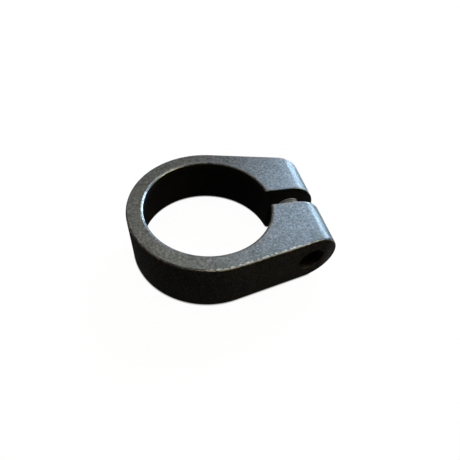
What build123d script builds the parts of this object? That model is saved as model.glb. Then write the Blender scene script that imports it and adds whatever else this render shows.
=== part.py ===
from build123d import *
from math import cos, radians, sin, sqrt, tan
import os

# Seatpost clamp, in millimetres. Z is the bore axis, with +Z towards the lip that stops the collar on
# the end of the seat tube. The slit and the ears lie towards +X. The bolt axis lies along Y at Z = 0,
# with the bolt's head in the ear on the +Y side and its thread in the other ear.

# Collar: a split ring with two ears, machined in one piece
tube_diameter = 31.8
ring_wall = 2.3
lip_width = 1.4
lip_height = 1.6
slit_width = 4.5
side_taper = 11.0
bolt_reach = 5.3
end_setback = 0.3
recess_wall = 1.1
edge_rounding = 0.45
lip_chamfer = 0.2
tube_lead_in = 0.8
slit_rounding = 0.25
hole_chamfer = 0.3

# Socket head cap screw
thread_diameter = 6.0
bolt_length = 16.0
head_diameter = 10.0
head_height = 6.0
head_chamfer = 0.5
neck_chamfer = 0.15
tip_chamfer = 0.6
socket_flats = 5.0
socket_depth = 3.0
socket_point = 120.0
socket_chamfer = 0.2

# Flat washer under the head
washer_margin = 0.5
washer_thickness = 1.6
washer_chamfer = 0.2

# Clearances on the radius, and the depth of the head below its recess's rim
thread_clearance = 0.05
shank_clearance = 0.3
washer_play = 0.2
washer_clearance = 0.1
head_below_rim = 0.15

# Sizes that follow from those above
tube_radius = tube_diameter / 2
lip_radius = tube_radius - lip_width
outer_radius = tube_radius + ring_wall
thread_radius = thread_diameter / 2
washer_radius = head_diameter / 2 + washer_margin
recess_radius = washer_radius + washer_clearance
end_radius = recess_radius + recess_wall
height = 2 * end_radius
top = height / 2
bottom = -height / 2
lip_underside = top - lip_height
bolt_offset = tube_radius + bolt_reach
end_offset = bolt_offset - end_setback
slit_side = slit_width / 2


def side_at(x):
    """Distance from the middle plane to a tapered side, at x along the ears."""
    taper = radians(side_taper)
    return outer_radius / cos(taper) - x * tan(taper)


head_top = side_at(bolt_offset + recess_radius) - head_below_rim
head_seat = head_top - head_height
washer_seat = head_seat - washer_thickness

# Local +Z runs from the threaded ear to the head, from zero in the middle of the slit
bolt_line = Plane((bolt_offset, 0, 0), x_dir=(1, 0, 0), z_dir=(0, 1, 0))


def rod(radius, start, end):
    """Solid cylinder on local Z."""
    cylinder = Cylinder(radius, end - start, align=(Align.CENTER, Align.CENTER, Align.MIN))
    return Pos(0, 0, start) * cylinder


def flare(start_radius, finish_radius, start, end):
    """Solid cone on local Z."""
    cone = Cone(start_radius, finish_radius, end - start, align=(Align.CENTER, Align.CENTER, Align.MIN))
    return Pos(0, 0, start) * cone


def make_blank():
    """The collar before boring: tapered in plan, with a full round at the ears' end, and no sharp edges."""
    taper = radians(side_taper)
    past_end = end_offset + 2 * end_radius
    ears = Polygon(
        (outer_radius * sin(taper), -outer_radius * cos(taper)),
        (past_end, -side_at(past_end)),
        (past_end, side_at(past_end)),
        (outer_radius * sin(taper), outer_radius * cos(taper)),
        align=None,
    )
    plan = extrude(Circle(outer_radius) + ears, amount=end_radius, both=True)
    straight = end_offset + 2 * outer_radius
    side_view = Pos(end_offset - straight / 2, 0) * Rectangle(straight, height)
    side_view += Pos(end_offset, 0) * Circle(end_radius)
    blank = plan & extrude(Plane.XZ * side_view, amount=2 * outer_radius, both=True)
    tangent_seams = blank.edges().filter_by(Axis.Y) + blank.edges().filter_by(Axis.Z)
    return fillet(blank.edges() - tangent_seams, edge_rounding)


def bore_tool():
    """What the boring bar removes: the tube's seat up to the lip, and the opening through the lip."""
    tool = rod(tube_radius, bottom, lip_underside)
    tool += flare(tube_radius + tube_lead_in, tube_radius, bottom, bottom + tube_lead_in)
    tool += rod(lip_radius, lip_underside, top)
    tool += flare(lip_radius, lip_radius + lip_chamfer, top - lip_chamfer, top)
    return tool


def split(collar):
    """Saws the slit through the ears and rounds its edges on the outside of the collar."""
    reach = end_offset + 2 * end_radius
    saw = Box(reach, slit_width, 2 * height, align=(Align.MIN, Align.CENTER, Align.CENTER))
    collar = collar - saw
    facing = collar.faces().filter_by(Axis.Y)
    walls = facing.filter_by(lambda wall: abs(abs(wall.center().Y) - slit_side) < 0.01)
    on_skin = [
        edge
        for edge in walls.edges()
        if abs(abs(edge.center().Z) - top) < 0.01 or edge.center().X > end_offset
    ]
    return fillet(on_skin, slit_rounding)


def drill(collar):
    """Drills the ears for the bolt: a head recess and clearance hole in one, a tapped hole in the other."""
    through = 2 * outer_radius
    tapped_radius = thread_radius + thread_clearance
    tool = rod(recess_radius, washer_seat, through)
    tool += rod(thread_radius + shank_clearance, 0, washer_seat)
    tool += rod(tapped_radius, -through, 0)
    tool += flare(tapped_radius, tapped_radius + hole_chamfer, -slit_side - hole_chamfer, -slit_side)
    collar = collar - bolt_line * tool
    mouths = collar.edges().filter_by(lambda edge: edge.is_closed and edge.geom_type == GeomType.ELLIPSE)
    thinnest_wall = recess_wall - end_setback
    return chamfer(mouths, min(hole_chamfer, (thinnest_wall - edge_rounding) / 2))


def make_collar():
    """The finished collar."""
    return drill(split(make_blank() - bore_tool()))


def make_bolt():
    """The cap screw, with its head seated on the washer."""
    shank = chamfer(rod(thread_radius, -bolt_length, 0).edges().sort_by(Axis.Z)[0], tip_chamfer)
    head_blank = rod(head_diameter / 2, 0, head_height)
    head = chamfer(head_blank.edges().sort_by(Axis.Z)[-1], head_chamfer)
    screw = head + shank
    at_seat = screw.edges().filter_by(lambda edge: abs(edge.center().Z) < 0.01)
    screw = chamfer(at_seat.sort_by(SortBy.LENGTH)[0], neck_chamfer)
    corner_radius = socket_flats / sqrt(3)
    floor = head_height - socket_depth
    point_depth = socket_flats / 2 / tan(radians(socket_point / 2))
    socket = Pos(0, 0, floor) * extrude(RegularPolygon(corner_radius, 6), amount=socket_depth)
    socket += flare(0.0, socket_flats / 2, floor - point_depth, floor)
    mouth_radius = corner_radius + socket_chamfer
    mouth_depth = mouth_radius - socket_flats / 2
    socket += flare(socket_flats / 2, mouth_radius, head_height - mouth_depth, head_height)
    return bolt_line * (Pos(0, 0, head_seat) * (screw - socket))


def make_washer():
    """The flat washer, chamfered on its upper side."""
    disc = rod(washer_radius, 0, washer_thickness) - rod(thread_radius + washer_play, 0, washer_thickness)
    rim = disc.edges().filter_by(GeomType.CIRCLE).group_by(Axis.Z)[-1].sort_by(SortBy.LENGTH)[-1]
    return bolt_line * (Pos(0, 0, washer_seat) * chamfer(rim, washer_chamfer))


os.makedirs("parts", exist_ok=True)
export_step(make_collar(), "parts/clamp_collar.step")
export_step(make_bolt(), "parts/clamp_bolt.step")
export_step(make_washer(), "parts/bolt_washer.step")
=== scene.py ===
import bpy
import bmesh
from math import cos, pi, radians, sin, sqrt, tan
from mathutils import Matrix, Vector


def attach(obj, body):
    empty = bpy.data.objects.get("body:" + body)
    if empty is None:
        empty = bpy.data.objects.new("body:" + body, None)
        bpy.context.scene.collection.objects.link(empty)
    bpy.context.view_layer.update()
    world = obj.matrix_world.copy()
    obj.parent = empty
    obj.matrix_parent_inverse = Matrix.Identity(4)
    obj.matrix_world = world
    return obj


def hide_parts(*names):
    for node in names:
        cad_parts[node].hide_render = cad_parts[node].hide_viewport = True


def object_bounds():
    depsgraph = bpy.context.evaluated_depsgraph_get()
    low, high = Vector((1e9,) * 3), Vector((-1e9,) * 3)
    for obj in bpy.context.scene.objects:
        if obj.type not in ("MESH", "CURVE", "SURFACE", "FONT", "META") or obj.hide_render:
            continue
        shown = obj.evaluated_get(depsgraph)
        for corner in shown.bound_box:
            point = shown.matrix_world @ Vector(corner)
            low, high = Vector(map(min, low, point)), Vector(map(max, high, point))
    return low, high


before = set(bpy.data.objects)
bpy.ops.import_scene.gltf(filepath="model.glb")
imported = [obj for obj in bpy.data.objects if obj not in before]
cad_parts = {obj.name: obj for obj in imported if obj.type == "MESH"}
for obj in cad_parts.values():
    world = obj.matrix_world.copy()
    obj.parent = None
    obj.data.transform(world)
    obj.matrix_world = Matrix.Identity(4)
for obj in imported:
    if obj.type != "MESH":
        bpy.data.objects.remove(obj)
cad_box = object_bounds()


# Collar: the split ring and its two ears, one piece of aluminium alloy, turned and milled to shape.
# Its outside is blasted with fine beads, which leaves a speckled skin, and all of it is anodised dark
# grey. The bore, the slit and the holes stay smooth and are painted nearly black, partly for their cut
# finish and partly as painted shade inside them. The edges are painted lighter, partly worn by handling
# and partly as painted highlight.

MM = 0.001


class Wire:
    """One socket of a node tree. Arithmetic on it adds Math nodes, and add() makes any other node."""

    def __init__(self, tree, socket=None):
        self.tree = tree
        self.socket = socket

    def add(self, kind, settings=None, inputs=None, output=0):
        node = self.tree.nodes.new(kind)
        for name, value in (settings or {}).items():
            setattr(node, name, value)
        for key, value in (inputs or {}).items():
            if isinstance(value, Wire):
                self.tree.links.new(value.socket, node.inputs[key])
            else:
                node.inputs[key].default_value = value
        return Wire(self.tree, node.outputs[output] if len(node.outputs) else None)

    def math(self, operation, first, second=0.0):
        return self.add("ShaderNodeMath", {"operation": operation}, {0: first, 1: second})

    def __add__(self, other):
        return self.math("ADD", self, other)

    def __sub__(self, other):
        return self.math("SUBTRACT", self, other)

    def __rsub__(self, other):
        return self.math("SUBTRACT", other, self)

    def __mul__(self, other):
        return self.math("MULTIPLY", self, other)

    def __truediv__(self, other):
        return self.math("DIVIDE", self, other)

    def __abs__(self):
        return self.math("ABSOLUTE", self)

    def at_least(self, other):
        return self.math("MAXIMUM", self, other)

    def at_most(self, other):
        return self.math("MINIMUM", self, other)

    def between(self, low, high):
        """Runs from 0 to 1 as this value goes from low to high."""
        return ((self - low) / (high - low)).at_least(0.0).at_most(1.0)

    def length(self, other):
        """The length of a line with this value and the other as its two components."""
        return self.math("SQRT", self * self + other * other)

    def axes(self):
        """The three components of this vector."""
        node = self.add("ShaderNodeSeparateXYZ", None, {0: self}).socket.node
        return [Wire(self.tree, socket) for socket in node.outputs]

    def mix(self, start, end):
        """A colour that runs from start to end as this value goes from 0 to 1."""
        return self.add("ShaderNodeMix", {"data_type": "RGBA"}, {0: self, 6: start, 7: end}, 2)

    __radd__ = __add__
    __rmul__ = __mul__


def new_finish(name):
    """An empty material, a Wire to add its nodes with, and the surface coordinates in millimetres."""
    material = bpy.data.materials.new(name)
    material.use_nodes = True
    material.node_tree.nodes.clear()
    start = Wire(material.node_tree)
    place = start.add("ShaderNodeTexCoord", output=3)
    scaled = start.add("ShaderNodeVectorMath", {"operation": "SCALE"}, {0: place, 3: 1 / MM})
    return material, start, scaled


def noise(at, per_mm, detail, roughness):
    """Noise with that many features to a millimetre."""
    sizes = {"Vector": at, "Scale": per_mm, "Detail": detail, "Roughness": roughness}
    return at.add("ShaderNodeTexNoise", None, sizes)


def close_finish(start, colour, roughness, height, depth, others):
    """Ends a material in a Principled shader, with a bump of that depth in metres."""
    relief = start.add("ShaderNodeBump", None, {"Height": height, "Distance": depth, "Strength": 1.0})
    links = {"Base Color": colour, "Roughness": roughness, "Normal": relief}
    shader = start.add("ShaderNodeBsdfPrincipled", None, {**others, **links})
    start.add("ShaderNodeOutputMaterial", None, {"Surface": shader})


def dress(piece, material):
    """Gives a piece one material."""
    piece.data.materials.clear()
    piece.data.materials.append(material)


# The collar's own sizes, in millimetres, and the angle of its flats.
TAPER = radians(11.0)
OUTER_RADIUS = 18.2
TUBE_RADIUS = 15.9
LIP_RADIUS = 14.5
LIP_CHAMFER = 0.2
HALF_HEIGHT = 6.7
END_PLACE = 20.9
EARS_START = TUBE_RADIUS - 4.0
EARS_BLEND = 1.0
SLIT_SIDE = 2.25
SLIT_ROUNDING = 0.25
BOLT_PLACE = 21.2
RECESS_RADIUS = 5.6
MARGIN = 0.1

# Where the finish changes, in millimetres, with the least shares of the light edge band. The band is
# painted lighter, partly as wear and partly as painted highlight, and is widest on the tapped ear's flat.
# The holes are painted darker further in, as painted shade, the lip's edge is softened and handling has
# polished the round end.
EDGE_SPOTS_PER_MM = 1.6
EDGE_BAND_WIDTH = 0.55
EDGE_BAND_BLUR = 0.15
LEAST_EDGE_BAND = 0.4
LEAST_SLIT_BAND = 0.2
TAPPED_BLEND = 3.0
EDGE_BAND_START = -9.0
EDGE_BAND_FULL = -4.0
EDGE_BAND_FADE = END_PLACE - 5.0
EDGE_BAND_END = END_PLACE + 3.0
HOLE_RIM = 0.3
HOLE_SHADE_FULL = 1.6
LIP_SOFTENING = 0.4
POLISH_START = END_PLACE + 3.0
POLISH_FULL = END_PLACE + 5.0


def collar_edges(place):
    """Masks: light edges (wear and painted highlight), slit edges, cut walls (partly painted shade),
    polished end, softened lip.
    """
    x, y, z = place.axes()
    radius = x.length(y)
    outward = sin(TAPER) * x + cos(TAPER) * abs(y)
    before_flat = (cos(TAPER) * x - sin(TAPER) * abs(y)).at_most(0.0)
    below_side = OUTER_RADIUS - outward.length(before_flat)
    below_skin = HALF_HEIGHT - z.length((x - END_PLACE).at_least(0.0))
    into_slit_wall = abs(y) - SLIT_SIDE
    on_ears = x.between(EARS_START, EARS_START + EARS_BLEND)
    slit = into_slit_wall.at_least(below_skin).between(SLIT_ROUNDING, 0.3 * SLIT_ROUNDING) * on_ears
    tapped_side = y.between(TAPPED_BLEND, -TAPPED_BLEND)
    along_flat = before_flat.between(EDGE_BAND_START, EDGE_BAND_FULL) * x.between(EDGE_BAND_END, EDGE_BAND_FADE)
    edge_spots = noise(place, EDGE_SPOTS_PER_MM, detail=3.0, roughness=0.6).between(0.3, 0.65)
    band_width = EDGE_BAND_WIDTH * (LEAST_EDGE_BAND + (1 - LEAST_EDGE_BAND) * edge_spots)
    band_width = band_width * (LEAST_EDGE_BAND + (1 - LEAST_EDGE_BAND) * along_flat * tapped_side)
    # The band along the outer and slit edges is painted lighter, for wear and painted highlight, widest on
    # the tapped flat.
    outer = (band_width - below_side.at_least(below_skin)).between(0.0, EDGE_BAND_BLUR)
    worn_and_highlit = outer.at_least(edge_spots * slit * (LEAST_SLIT_BAND + (1 - LEAST_SLIT_BAND) * tapped_side))
    bored = radius.between(TUBE_RADIUS + MARGIN, TUBE_RADIUS)
    bored = bored * below_skin.between(LIP_CHAMFER, 2 * LIP_CHAMFER)
    sawn = into_slit_wall.between(MARGIN, 0.0) * below_skin.between(0.0, SLIT_ROUNDING) * on_ears
    # The holes' walls are painted darker from their rim inwards: painted shade.
    drilled_and_shaded = (x - BOLT_PLACE).length(z).between(RECESS_RADIUS + MARGIN, RECESS_RADIUS)
    drilled_and_shaded = drilled_and_shaded * below_side.between(HOLE_RIM, HOLE_SHADE_FULL)
    polished = x.between(POLISH_START, POLISH_FULL)
    softened = (radius - LIP_RADIUS - LIP_CHAMFER).between(LIP_SOFTENING, 0.0)
    return worn_and_highlit, slit, bored.at_least(sawn).at_least(drilled_and_shaded), polished, softened


ANODISE_DARK = (0.042, 0.042, 0.039, 1.0)
ANODISE_LIGHT = (0.152, 0.150, 0.141, 1.0)
# The bore, slit and hole walls: darker than the skin, partly for their smooth cut finish and partly as
# painted shade.
ANODISE_CUT_AND_SHADE = (0.030, 0.029, 0.028, 1.0)
# The edge band's colour: light, partly worn metal and partly painted highlight.
ANODISE_WORN_HIGHLIT = (0.74, 0.78, 0.70, 1.0)
FLECKS_PER_MM = 1.9
GRAINS_PER_MM = 7.0
CLOUDS_PER_MM = 0.16
DENTS_PER_MM = 3.1
DENT_DEPTH = 0.025 * MM
LIP_FALL = 0.1 * MM
SKIN_SHEEN = 0.02
SLIT_SHEEN = 0.03
END_SHEEN = 0.075
LIP_SHEEN = 0.045
anodise, start, place = new_finish("blasted_anodise")
fleck = noise(place, FLECKS_PER_MM, detail=1.5, roughness=0.6).between(0.35, 0.75)
grain = noise(place, GRAINS_PER_MM, detail=2.0, roughness=0.6)
clouds = noise(place, CLOUDS_PER_MM, detail=2.0, roughness=0.5)
dents = start.add("ShaderNodeTexVoronoi", {"feature": "F1"}, {"Vector": place, "Scale": DENTS_PER_MM})
sparkle = Wire(start.tree, dents.socket.node.outputs["Color"]).axes()[0].between(0.75, 1.0)
wear_and_highlight, slit_edge, cut, polished, softened = collar_edges(place)
tone = (0.5 * fleck + 0.4 * clouds + 0.4 * sparkle - 0.10).at_least(0.0).at_most(1.0)
blasted = tone.mix(ANODISE_DARK, ANODISE_LIGHT)
sheen = SKIN_SHEEN * (1 - wear_and_highlight) + SLIT_SHEEN * slit_edge + END_SHEEN * polished * polished
close_finish(
    start,
    # Painted shade darkens the cut walls, and painted highlight with wear lightens the edge band.
    wear_and_highlight.mix(cut.mix(blasted, ANODISE_CUT_AND_SHADE), ANODISE_WORN_HIGHLIT),
    0.22 + 0.12 * grain + 0.04 * clouds,
    (0.6 * dents + 0.4 * grain) * (1 - cut) - LIP_FALL / DENT_DEPTH * softened * softened,
    DENT_DEPTH,
    {"Metallic": sheen + LIP_SHEEN * softened * (1 - cut), "Specular IOR Level": 0.0},
)
dress(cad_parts["clamp_collar"], anodise)


# Ear thread: the M6 thread tapped in the near ear, cut in the collar's own metal before it is anodised.
# Its ridges lie in the bolt's grooves, so both follow one right-hand helix about the bolt's axis.

BOLT_AXIS = Matrix(((1, 0, 0, BOLT_PLACE * MM), (0, 0, 1, 0), (0, -1, 0, 0), (0, 0, 0, 1)))
THREAD_PITCH = 1.0 * MM
THREAD_RADIUS = 3.0 * MM
THREAD_DEPTH = 0.613 * MM
THREAD_AROUND = 144
THREAD_ROWS = 4
END_ROWS = 3
LEAD_TURNS = 1.5
CREST_SHARE = 2 / 16
FLANK_SHARE = 5 / 16
MERGE_GAP = 0.002 * MM
SLIVER = 0.0005 * MM


def thread_tree():
    """A skin that follows a thread, with four rows of points to a turn, at the ends of crest and root."""
    tree = bpy.data.node_groups.new("helical_thread", "GeometryNodeTree")
    tree.interface.new_socket("Geometry", in_out="INPUT", socket_type="NodeSocketGeometry")
    for name in ("Pitch", "Crest Radius", "Depth", "Start", "End", "Run-out", "Chamfer Radius",
                 "First Radius", "Last Radius", "Last Place"):
        tree.interface.new_socket(name, in_out="INPUT", socket_type="NodeSocketFloat")
    for name in ("Around", "Rows"):
        tree.interface.new_socket(name, in_out="INPUT", socket_type="NodeSocketInt")
    tree.interface.new_socket("Finish", in_out="INPUT", socket_type="NodeSocketMaterial")
    tree.interface.new_socket("Geometry", in_out="OUTPUT", socket_type="NodeSocketGeometry")
    begin = Wire(tree)
    group = tree.nodes.new("NodeGroupInput")
    size = {socket.name: Wire(tree, socket) for socket in group.outputs}
    grid = begin.add(
        "GeometryNodeMeshGrid",
        None,
        {"Size X": 1.0, "Size Y": 1.0, "Vertices X": size["Around"] + 1, "Vertices Y": size["Rows"]},
    )
    across, upward = begin.add("GeometryNodeInputPosition").axes()[:2]
    turn = across + 0.5
    row = begin.math("ROUND", (upward + 0.5) * (size["Rows"] - 1))
    corner = row.math("FLOORED_MODULO", row, THREAD_ROWS)
    step = FLANK_SHARE * (corner.at_most(1.0) + (corner - 2).between(0, 1))
    step = step + CREST_SHARE * (corner - 1).between(0, 1)
    turns = row.math("FLOOR", row / THREAD_ROWS) + step - LEAD_TURNS + turn
    along = (size["Start"] + turns * size["Pitch"]).at_least(size["Start"]).at_most(size["End"])
    phase = along / size["Pitch"] - turn
    from_crest = abs(phase - phase.math("ROUND", phase))
    cut = from_crest.between(CREST_SHARE / 2, CREST_SHARE / 2 + FLANK_SHARE) * size["Depth"]
    fade = ((size["End"] - along) / size["Run-out"]).at_least(0.0).at_most(1.0)
    limit = size["Chamfer Radius"] + along - size["Start"]
    radius = (size["Crest Radius"] - cut * fade).at_most(limit)
    first = row.math("LESS_THAN", row, 0.5)
    last = row.math("GREATER_THAN", row, size["Rows"] - 2.5)
    final = row.math("GREATER_THAN", row, size["Rows"] - 1.5)
    radius = radius + first * (size["First Radius"] - radius) + last * (size["Last Radius"] - radius)
    along = along + final * (size["Last Place"] - along)
    angle = turn * (2 * pi)
    position = begin.add(
        "ShaderNodeCombineXYZ",
        None,
        {0: radius * angle.math("COSINE", angle), 1: radius * angle.math("SINE", angle), 2: along},
    )
    skin = begin.add("GeometryNodeSetPosition", None, {"Geometry": grid, "Position": position})
    joined = tree.nodes.new("GeometryNodeJoinGeometry")
    tree.links.new(skin.socket, joined.inputs[0])
    tree.links.new(size["Geometry"].socket, joined.inputs[0])
    whole = Wire(tree, joined.outputs[0])
    merged = begin.add("GeometryNodeMergeByDistance", None, {"Geometry": whole, "Distance": MERGE_GAP})
    real = begin.add("GeometryNodeRealizeInstances", None, {"Geometry": merged})
    done = begin.add("GeometryNodeSetMaterial", None, {"Geometry": real, "Material": size["Finish"]})
    output = tree.nodes.new("NodeGroupOutput")
    tree.links.new(done.socket, output.inputs[0])
    return tree


def grow(name, base, tree, values):
    """Runs a node tree on a base mesh and gives the result as a plain mesh object on the bolt's axis."""
    blank = bpy.data.objects.new(name + "_blank", base)
    bpy.context.scene.collection.objects.link(blank)
    modifier = blank.modifiers.new("shape", "NODES")
    modifier.node_group = tree
    for item in tree.interface.items_tree:
        if item.in_out == "INPUT" and item.name in values:
            modifier[item.identifier] = values[item.name]
    evaluated = blank.evaluated_get(bpy.context.evaluated_depsgraph_get())
    mesh = bpy.data.meshes.new_from_object(evaluated)
    blank.modifiers.remove(modifier)
    bpy.data.objects.remove(blank)
    mesh.name = name
    shape = bmesh.new()
    shape.from_mesh(mesh)
    bmesh.ops.dissolve_degenerate(shape, dist=SLIVER, edges=shape.edges)
    bmesh.ops.recalc_face_normals(shape, faces=shape.faces)
    shape.to_mesh(mesh)
    shape.free()
    mesh.transform(BOLT_AXIS)
    piece = bpy.data.objects.new(name, mesh)
    bpy.context.scene.collection.objects.link(piece)
    return piece


def smooth(piece, angle):
    """Shades a piece smooth, except over edges sharper than that angle."""
    piece.data.shade_smooth()
    piece.data.set_sharp_from_angle(angle=radians(angle))


EAR_THREAD_START = -13.3 * MM
EAR_THREAD_END = -2.55 * MM
EAR_THREAD_BACK = 3.08 * MM
EAR_THREAD_TURNS = 14
THREAD_PLAY = 0.03 * MM
NO_RUN_OUT = 0.001 * MM
NO_CHAMFER = 100 * MM
SHARP_ANGLE = 25
helical_thread = thread_tree()
ear_thread = grow("ear_thread", bpy.data.meshes.new("ear_thread_base"), helical_thread, {
    "Pitch": THREAD_PITCH,
    "Crest Radius": THREAD_RADIUS + THREAD_PLAY,
    "Depth": THREAD_DEPTH - THREAD_PLAY,
    "Start": EAR_THREAD_START,
    "End": EAR_THREAD_END,
    "Run-out": NO_RUN_OUT,
    "Chamfer Radius": NO_CHAMFER,
    "First Radius": EAR_THREAD_BACK,
    "Last Radius": EAR_THREAD_BACK,
    "Last Place": EAR_THREAD_START,
    "Around": THREAD_AROUND,
    "Rows": THREAD_ROWS * EAR_THREAD_TURNS + END_ROWS,
    "Finish": anodise,
})
smooth(ear_thread, SHARP_ANGLE)
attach(ear_thread, "collar")


# Washer: a flat ring punched from steel sheet, chamfered on its upper side, zinc plated and tumbled.
# It lies loose at the bottom of the recess in the far ear, under the bolt's head.

ZINC_DULL = (0.55, 0.56, 0.57, 1.0)
ZINC_BRIGHT = (0.66, 0.67, 0.68, 1.0)
SCUFFS_PER_MM = 3.0
SCUFF_DEPTH = 0.004 * MM
TARNISH_PER_MM = 0.5
zinc, start, place = new_finish("tumbled_zinc")
scuffs = noise(place, SCUFFS_PER_MM, detail=3.0, roughness=0.6)
tarnish = noise(place, TARNISH_PER_MM, detail=2.0, roughness=0.5)
close_finish(
    start,
    tarnish.between(0.3, 0.7).mix(ZINC_DULL, ZINC_BRIGHT),
    0.28 + 0.18 * scuffs,
    scuffs,
    SCUFF_DEPTH,
    {"Metallic": 1.0},
)
dress(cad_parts["bolt_washer"], zinc)


# Bolt: a socket head cap screw, M6 x 16. The head is forged with its hexagon and knurled round its side,
# the thread is rolled, and the whole screw is zinc plated. The thread's grooves below the head are painted
# dark as painted shade.

HEAD_SEAT = 7.181 * MM
HEAD_HEIGHT = 6.0 * MM
HEAD_TOP = HEAD_SEAT + HEAD_HEIGHT
HEAD_RADIUS = 5.0 * MM
HEAD_CHAMFER = 0.5 * MM
SEAT_CHAMFER = 0.15 * MM
NECK_CHAMFER = 0.15 * MM
NECK_END = HEAD_SEAT - NECK_CHAMFER
BOLT_LENGTH = 16.0 * MM
BOLT_TIP = HEAD_SEAT - BOLT_LENGTH
TIP_CHAMFER = 0.6 * MM
BOLT_RUN_OUT = 2.0 * MM
BOLT_THREAD_TURNS = 18
SOCKET_FLATS = 5.0 * MM
SOCKET_CHAMFER = 0.2 * MM
SOCKET_DEPTH = 3.0 * MM
SOCKET_MOUTH = SOCKET_FLATS / sqrt(3) + SOCKET_CHAMFER
SOCKET_FLOOR = HEAD_TOP - SOCKET_DEPTH
SOCKET_POINT = radians(120)
KNURL_LOW = HEAD_SEAT + 0.7 * MM
KNURL_HIGH = HEAD_TOP - 1.1 * MM
KNURL_DEPTH = 0.14 * MM
KNURL_SLOPE = 0.2 * MM


def hexagon(angle):
    """Distance from the axis to the socket's wall at that angle."""
    from_flat = (angle + pi / 6) % (pi / 3) - pi / 6
    return SOCKET_FLATS / 2 / cos(from_flat)


def screw_head():
    """The head as rings of points about the axis, from the socket's bottom out to the neck."""
    angles = [2 * pi * step / THREAD_AROUND for step in range(THREAD_AROUND)]
    point = SOCKET_FLOOR - SOCKET_FLATS / 2 / tan(SOCKET_POINT / 2)
    rings = [[(SOCKET_FLATS / 2, SOCKET_FLOOR)] * THREAD_AROUND]
    rings.append([(hexagon(angle), SOCKET_FLOOR) for angle in angles])
    rings.append([(hexagon(angle), HEAD_TOP - SOCKET_MOUTH + hexagon(angle)) for angle in angles])
    rings.append([(SOCKET_MOUTH, HEAD_TOP)] * THREAD_AROUND)
    rings.append([(HEAD_RADIUS - HEAD_CHAMFER, HEAD_TOP)] * THREAD_AROUND)
    rings.append([(HEAD_RADIUS, HEAD_TOP - HEAD_CHAMFER)] * THREAD_AROUND)
    tooth = [HEAD_RADIUS - KNURL_DEPTH * (step % 2) for step in range(THREAD_AROUND)]
    rings.append([(HEAD_RADIUS, KNURL_HIGH)] * THREAD_AROUND)
    rings.append([(out, KNURL_HIGH - KNURL_SLOPE) for out in tooth])
    rings.append([(out, KNURL_LOW + KNURL_SLOPE) for out in tooth])
    rings.append([(HEAD_RADIUS, KNURL_LOW)] * THREAD_AROUND)
    rings.append([(HEAD_RADIUS, HEAD_SEAT + SEAT_CHAMFER)] * THREAD_AROUND)
    rings.append([(HEAD_RADIUS - SEAT_CHAMFER, HEAD_SEAT)] * THREAD_AROUND)
    rings.append([(THREAD_RADIUS + NECK_CHAMFER, HEAD_SEAT)] * THREAD_AROUND)
    rings.append([(THREAD_RADIUS, NECK_END)] * THREAD_AROUND)
    points = [(0.0, 0.0, point)]
    for ring in rings:
        points += [(out * cos(a), out * sin(a), up) for (out, up), a in zip(ring, angles)]
    faces = []
    for step in range(THREAD_AROUND):
        after = (step + 1) % THREAD_AROUND
        faces.append((0, 1 + step, 1 + after))
        for ring in range(len(rings) - 1):
            low = 1 + ring * THREAD_AROUND
            high = low + THREAD_AROUND
            faces.append((low + step, high + step, high + after, low + after))
    mesh = bpy.data.meshes.new("screw_head")
    mesh.from_pydata(points, [], faces)
    return mesh


PLATING_DULL = (0.48, 0.49, 0.48, 1.0)
PLATING_CLEAN = (0.63, 0.64, 0.62, 1.0)
# The colour of the thread's grooves below the head: painted shade.
THREAD_GROOVE_SHADE = (0.06, 0.065, 0.08, 1.0)
GROOVE_SHADE_SHARE = 0.85
GROOVE_SHADE_FADE = 1.0
GROOVE_TOP = 2.95
GROOVE_BOTTOM = 2.6
STREAKS_PER_MM = 1.4
STREAK_DEPTH = 0.003 * MM
HAZE_PER_MM = 0.35
plating, start, place = new_finish("zinc_plating")
streaks = noise(place, STREAKS_PER_MM, detail=3.0, roughness=0.6)
haze = noise(place, HAZE_PER_MM, detail=2.0, roughness=0.5)
x, y, z = place.axes()
below_head = y.between(HEAD_SEAT / MM, HEAD_SEAT / MM - GROOVE_SHADE_FADE)
in_groove = (x - BOLT_PLACE).length(z).between(GROOVE_TOP, GROOVE_BOTTOM) * below_head
clean = haze.between(0.3, 0.7).mix(PLATING_DULL, PLATING_CLEAN)
close_finish(
    start,
    # The grooves are painted dark: painted shade.
    (GROOVE_SHADE_SHARE * in_groove).mix(clean, THREAD_GROOVE_SHADE),
    0.30 + 0.16 * streaks,
    streaks,
    STREAK_DEPTH,
    {"Metallic": 1.0},
)
bolt = grow("clamp_bolt_threaded", screw_head(), helical_thread, {
    "Pitch": THREAD_PITCH,
    "Crest Radius": THREAD_RADIUS,
    "Depth": THREAD_DEPTH,
    "Start": BOLT_TIP,
    "End": NECK_END,
    "Run-out": BOLT_RUN_OUT,
    "Chamfer Radius": THREAD_RADIUS - TIP_CHAMFER,
    "First Radius": 0.0,
    "Last Radius": THREAD_RADIUS,
    "Last Place": NECK_END,
    "Around": THREAD_AROUND,
    "Rows": THREAD_ROWS * BOLT_THREAD_TURNS + END_ROWS,
    "Finish": plating,
})
smooth(bolt, SHARP_ANGLE)
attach(bolt, "bolt")
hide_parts("clamp_bolt")


# Floor: a plain white sweep under the part. It shows white to the camera and in reflections and keeps a
# soft shadow, darkest right under the rounded edges, but throws little light up at the part's sides.

FLOOR_HALF = 3.0
FLOOR_BOUNCE = (0.035, 0.035, 0.035, 1.0)
FLOOR_WHITE = 0.975
CONTACT_SHADOW = 0.35 * MM


def sees_white(start):
    """One for what shows the white studio: camera, glossy and transmission rays."""
    path = start.tree.nodes.new("ShaderNodeLightPath")
    names = ("Is Camera Ray", "Is Glossy Ray", "Is Transmission Ray")
    camera, glossy, through = [Wire(start.tree, path.outputs[name]) for name in names]
    return camera.at_least(glossy).at_least(through)


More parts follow.
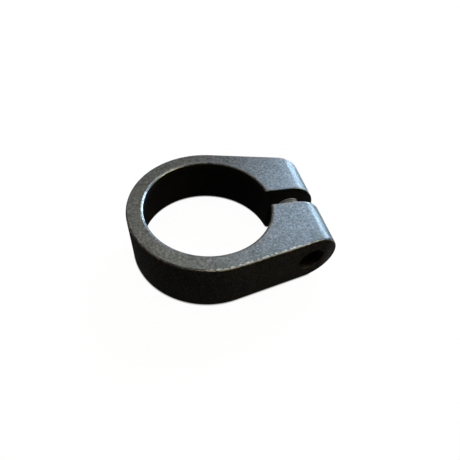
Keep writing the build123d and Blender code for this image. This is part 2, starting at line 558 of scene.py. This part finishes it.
paper = bpy.data.materials.new("white_sweep")
paper.use_nodes = True
paper.node_tree.nodes.clear()
start = Wire(paper.node_tree)
matt = start.add("ShaderNodeBsdfDiffuse", None, {"Color": FLOOR_BOUNCE})
white = start.add("ShaderNodeAmbientOcclusion", {"samples": 8}, {"Distance": CONTACT_SHADOW})
shown = {"Color": white, "Strength": sees_white(start) * FLOOR_WHITE}
glow = start.add("ShaderNodeEmission", None, shown)
both = start.add("ShaderNodeAddShader", None, {0: matt, 1: glow})
start.add("ShaderNodeOutputMaterial", None, {"Surface": both})
floor_level = cad_box[0][2]
sweep = bpy.data.meshes.new("floor")
corners = [(-1, -1), (1, -1), (1, 1), (-1, 1)]
sweep.from_pydata([(x * FLOOR_HALF, y * FLOOR_HALF, floor_level) for x, y in corners], [], [(0, 1, 2, 3)])
floor = bpy.data.objects.new("floor", sweep)
bpy.context.scene.collection.objects.link(floor)
dress(floor, paper)


# Studio: a cool window behind the ears, a warm lamp overhead and a faint warm doorway beside the ears,
# in a dim room. The glints are those lights as the collar's satin skin mirrors them, and light nothing.

LAMP_DISTANCE = 2.0
ROOM_LIGHT = 0.005


def lamp(name, azimuth, elevation, size, power, colour):
    """A soft box aimed at the part. Azimuth runs from +Y towards +X, in degrees."""
    light = bpy.data.lights.new(name, "AREA")
    light.shape = "RECTANGLE"
    light.size, light.size_y = size
    light.energy = power
    light.color = colour
    box = bpy.data.objects.new(name, light)
    towards = Vector((
        sin(radians(azimuth)) * cos(radians(elevation)),
        cos(radians(azimuth)) * cos(radians(elevation)),
        sin(radians(elevation)),
    ))
    facing = towards.to_track_quat("Z", "Y").to_matrix().to_4x4()
    box.matrix_world = Matrix.Translation(towards * LAMP_DISTANCE) @ facing
    box.visible_camera = False
    bpy.context.scene.collection.objects.link(box)
    return box


glossy_pieces = bpy.data.collections.new("glossy_pieces")
glossy_pieces.objects.link(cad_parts["clamp_collar"])


def glint(name, **sizes):
    """A lamp that shows only as a reflection in the collar's skin, and lights nothing."""
    box = lamp(name, **sizes)
    box.visible_diffuse = False
    box.light_linking.receiver_collection = glossy_pieces


lamp("window", azimuth=40, elevation=36, size=(0.8, 0.8), power=44, colour=(0.75, 0.88, 1.0))
lamp("ceiling_lamp", azimuth=0, elevation=85, size=(0.8, 0.8), power=17, colour=(1.0, 0.85, 0.65))
lamp("doorway", azimuth=112, elevation=36, size=(1.2, 0.6), power=3.0, colour=(1.0, 0.72, 0.45))
glint("window_glint", azimuth=37, elevation=39, size=(0.8, 1.0), power=690, colour=(0.46, 0.68, 1.0))
glint("low_glint", azimuth=54, elevation=8, size=(1.0, 0.75), power=1350, colour=(0.50, 0.74, 1.0))
glint("ceiling_glint", azimuth=6, elevation=58, size=(1.0, 0.7), power=116, colour=(0.97, 1.0, 0.85))
glint("doorway_glint", azimuth=115, elevation=38, size=(1.3, 0.6), power=300, colour=(1.0, 0.95, 0.60))

room = bpy.data.worlds.new("room")
room.use_nodes = True
room.node_tree.nodes.clear()
start = Wire(room.node_tree)
shown = {"Color": (1.0, 1.0, 1.0, 1.0), "Strength": sees_white(start) * (1 - ROOM_LIGHT) + ROOM_LIGHT}
air = start.add("ShaderNodeBackground", None, shown)
start.add("ShaderNodeOutputWorld", None, {"Surface": air})
bpy.context.scene.world = room


# Camera: where the photograph was taken from, close above the near side of the ring. Its place, lens and
# angles, in radians, were fitted to the edges of the collar.

LENS = 27.743
SENSOR_WIDTH = 36.0
CAMERA_PLACE = Vector((-11.291, -55.762, 63.836)) * MM
CAMERA_TURN = -0.2969
CAMERA_RISE = 0.8561
CAMERA_ROLL = 0.1025
level = cos(CAMERA_RISE)
back = Vector((sin(CAMERA_TURN) * level, -cos(CAMERA_TURN) * level, sin(CAMERA_RISE)))
right = Vector((cos(CAMERA_TURN), sin(CAMERA_TURN), 0.0))
up = back.cross(right)
rolled_right = right * cos(CAMERA_ROLL) + up * sin(CAMERA_ROLL)
rolled_up = up * cos(CAMERA_ROLL) - right * sin(CAMERA_ROLL)
facing = Matrix((rolled_right, rolled_up, back)).transposed().to_4x4()
view = bpy.data.cameras.new("photo_view")
view.lens = LENS
view.sensor_width = SENSOR_WIDTH
view.clip_start = 1 * MM
camera = bpy.data.objects.new("photo_view", view)
camera.matrix_world = Matrix.Translation(CAMERA_PLACE) @ facing
bpy.context.scene.collection.objects.link(camera)
bpy.context.scene.camera = camera
bpy.context.scene.view_settings.view_transform = "Standard"
